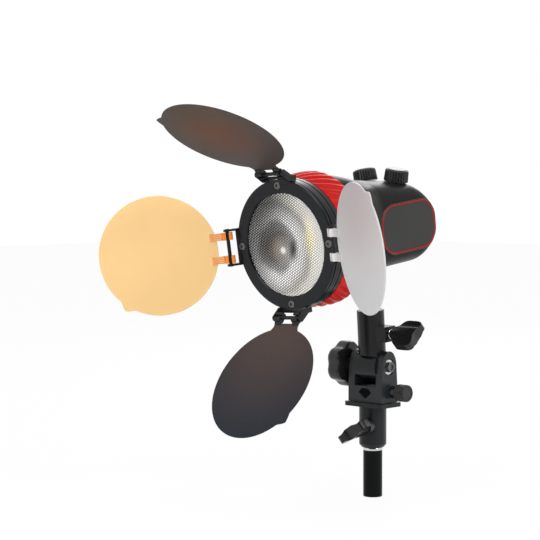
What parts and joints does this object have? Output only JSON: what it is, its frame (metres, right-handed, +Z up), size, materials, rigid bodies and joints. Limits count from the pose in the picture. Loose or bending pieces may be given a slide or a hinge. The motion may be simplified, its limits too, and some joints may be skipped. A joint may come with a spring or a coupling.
{
  "type": "focusing led spotlight",
  "caption": "Round LED spotlight with a turning focus ring, folding round barn-door leaves with amber and white filters, and a tilting, swivelling stand bracket on a riser stud.",
  "frame": {"origin": "centre of the riser tube's lower end face", "axes": "+Z up along the riser, -Y the way the beam leaves, +X the side with the white diffusing leaf and the brightness knob"},
  "size_m": [0.3393, 0.3029, 0.3775],
  "materials": {
    "black_paint": "satin black powder coat",
    "ring_paint": "satin blue-black anodised look",
    "black_plastic": "fine matte texture",
    "gloss_black": "semi-gloss",
    "panel_plastic": "smooth satin",
    "red_plastic": "satin red",
    "steel": "bright, lightly turned",
    "dark_steel": "dark, lightly turned",
    "chrome": "polished",
    "lens_glass": "clear, patterned front",
    "mirror_aluminium": "bright, nearly mirror",
    "aluminium": "plain machined",
    "led_yellow": "smooth",
    "board_green": "lacquered",
    "leaf_paint": "matte dark paint",
    "amber_plastic": "translucent, satin",
    "white_plastic": "translucent, milky",
    "grey_plastic": "satin"
  },
  "bodies": {
    "riser": {"riser_tube": "black_paint", "riser_plug": "black_plastic", "riser_stud": "chrome"},
    "bracket": {"lower_socket": "black_paint", "yoke": "black_paint", "pivot_bolt": "dark_steel", "pivot_washer": "steel"},
    "lower_clamp": {"lower_clamp_screw": "steel", "lower_clamp_handle": "gloss_black"},
    "umbrella_clamp": {"umbrella_screw": "steel", "umbrella_screw_knob": "gloss_black"},
    "tilt_lock": {"tilt_lock_knob": "gloss_black"},
    "head": {"upper_socket": "black_paint"},
    "upper_clamp": {"upper_clamp_screw": "steel", "upper_clamp_handle": "gloss_black"},
    "lamp": {"lamp_spigot": "steel", "foot_block": "black_plastic", "housing_cone": "black_plastic", "housing_rear": "black_plastic", "front_barrel": "black_paint", "lens": "lens_glass", "lens_clip_ring": "steel", "heat_sink": "aluminium", "led_board": "led_yellow", "fan_frame": "black_plastic", "driver_board": "board_green", "dc_inlet": "black_plastic", "side_panel_right": "panel_plastic", "side_panel_left": "panel_plastic", "side_trim_right": "red_plastic", "side_trim_left": "red_plastic", "brightness_control": "steel", "colour_control": "steel"},
    "brightness_dial": {"brightness_knob": "gloss_black", "brightness_knob_cap": "grey_plastic"},
    "colour_dial": {"colour_knob": "gloss_black", "colour_knob_cap": "grey_plastic"},
    "focus_grip": {"focus_ring": "red_plastic"},
    "reflector_carriage": {"reflector": "mirror_aluminium"},
    "barn_doors": {"barn_door_ring": "ring_paint", "ring_screw_top": "dark_steel", "ring_screw_right": "dark_steel", "ring_screw_bottom": "dark_steel", "ring_screw_left": "dark_steel", "hinge_bracket_top": "black_paint", "hinge_bracket_right": "black_paint", "hinge_bracket_bottom": "black_paint", "hinge_bracket_left": "black_paint", "hinge_pin_top": "black_paint", "hinge_pin_right": "black_paint", "hinge_pin_bottom": "black_paint", "hinge_pin_left": "black_paint"},
    "top_door": {"leaf_top": "leaf_paint"},
    "right_door": {"leaf_right": "white_plastic"},
    "bottom_door": {"leaf_bottom": "leaf_paint"},
    "left_door": {"leaf_left": "amber_plastic"},
    "fan": {"fan_rotor": "black_plastic"}
  },
  "joints": [
    {"name": "bracket_pan", "type": "hinge", "parent": "riser", "child": "bracket", "pos_m": [0, 0, 0.0489], "axis": [0, 0, 1], "continuous": true},
    {"name": "lower_clamp_turn", "type": "hinge", "parent": "bracket", "child": "lower_clamp", "pos_m": [0, 0, 0.0707], "axis": [0.3256, -0.9455, 0], "range_deg": [0, 540]},
    {"name": "umbrella_screw_turn", "type": "hinge", "parent": "bracket", "child": "umbrella_clamp", "pos_m": [0, 0, 0.1055], "axis": [1, 0, 0], "range_deg": [0, 720]},
    {"name": "tilt_lock_turn", "type": "hinge", "parent": "bracket", "child": "tilt_lock", "pos_m": [0, 0, 0.1295], "axis": [-1, 0, 0], "range_deg": [0, 540]},
    {"name": "head_tilt", "type": "hinge", "parent": "bracket", "child": "head", "pos_m": [0, 0, 0.1295], "axis": [1, 0, 0], "range_deg": [-54, 46]},
    {"name": "upper_clamp_turn", "type": "hinge", "parent": "head", "child": "upper_clamp", "pos_m": [0, -0.0023, 0.16242], "axis": [1, 0, 0], "range_deg": [0, 540]},
    {"name": "lamp_swivel", "type": "hinge", "parent": "head", "child": "lamp", "pos_m": [0, -0.0023, 0.16242], "axis": [0, -0.0698, 0.9976], "continuous": true},
    {"name": "brightness_turn", "type": "hinge", "parent": "lamp", "child": "brightness_dial", "pos_m": [0.019, 0.01172, 0.31046], "axis": [0.1988, -0.045, 0.979], "range_deg": [-135, 135]},
    {"name": "colour_turn", "type": "hinge", "parent": "lamp", "child": "colour_dial", "pos_m": [-0.019, 0.01172, 0.31046], "axis": [-0.1988, -0.045, 0.979], "range_deg": [-135, 135]},
    {"name": "focus_turn", "type": "hinge", "parent": "lamp", "child": "focus_grip", "pos_m": [0, -0.09495, 0.25574], "axis": [0, 0.9921, 0.1258], "range_deg": [-30, 30]},
    {"name": "reflector_slide", "type": "slide", "parent": "lamp", "child": "reflector_carriage", "axis": [0, 0.9921, 0.1258], "range_m": [-0.0041, 0.0041]},
    {"name": "ring_turn", "type": "hinge", "parent": "lamp", "child": "barn_doors", "pos_m": [0, -0.126, 0.2518], "axis": [0, 0.9921, 0.1258], "continuous": true},
    {"name": "top_leaf_fold", "type": "hinge", "parent": "barn_doors", "child": "top_door", "pos_m": [-0.00301, -0.14089, 0.31758], "axis": [0.999, -0.0056, 0.0445], "range_deg": [-55.2, 39.8]},
    {"name": "right_leaf_fold", "type": "hinge", "parent": "barn_doors", "child": "right_door", "pos_m": [0.06713, -0.13283, 0.25397], "axis": [0.0448, 0.1257, -0.9911], "range_deg": [-29.3, 65.7]},
    {"name": "bottom_leaf_fold", "type": "hinge", "parent": "barn_doors", "child": "bottom_door", "pos_m": [0.00301, -0.124, 0.18438], "axis": [-0.999, 0.0056, -0.0445], "range_deg": [-42.2, 52.8]},
    {"name": "left_leaf_fold", "type": "hinge", "parent": "barn_doors", "child": "left_door", "pos_m": [-0.06713, -0.13207, 0.24799], "axis": [-0.0448, -0.1257, 0.9911], "range_deg": [-42.2, 52.8]},
    {"name": "fan_spin", "type": "hinge", "parent": "lamp", "child": "fan", "pos_m": [0, -0.0131, 0.26611], "axis": [0, 0.9921, 0.1258], "continuous": true}
  ],
  "couplings": [
    {"joint": "reflector_slide", "follows": "focus_turn", "m_per_rad": -0.0076394}
  ]
}
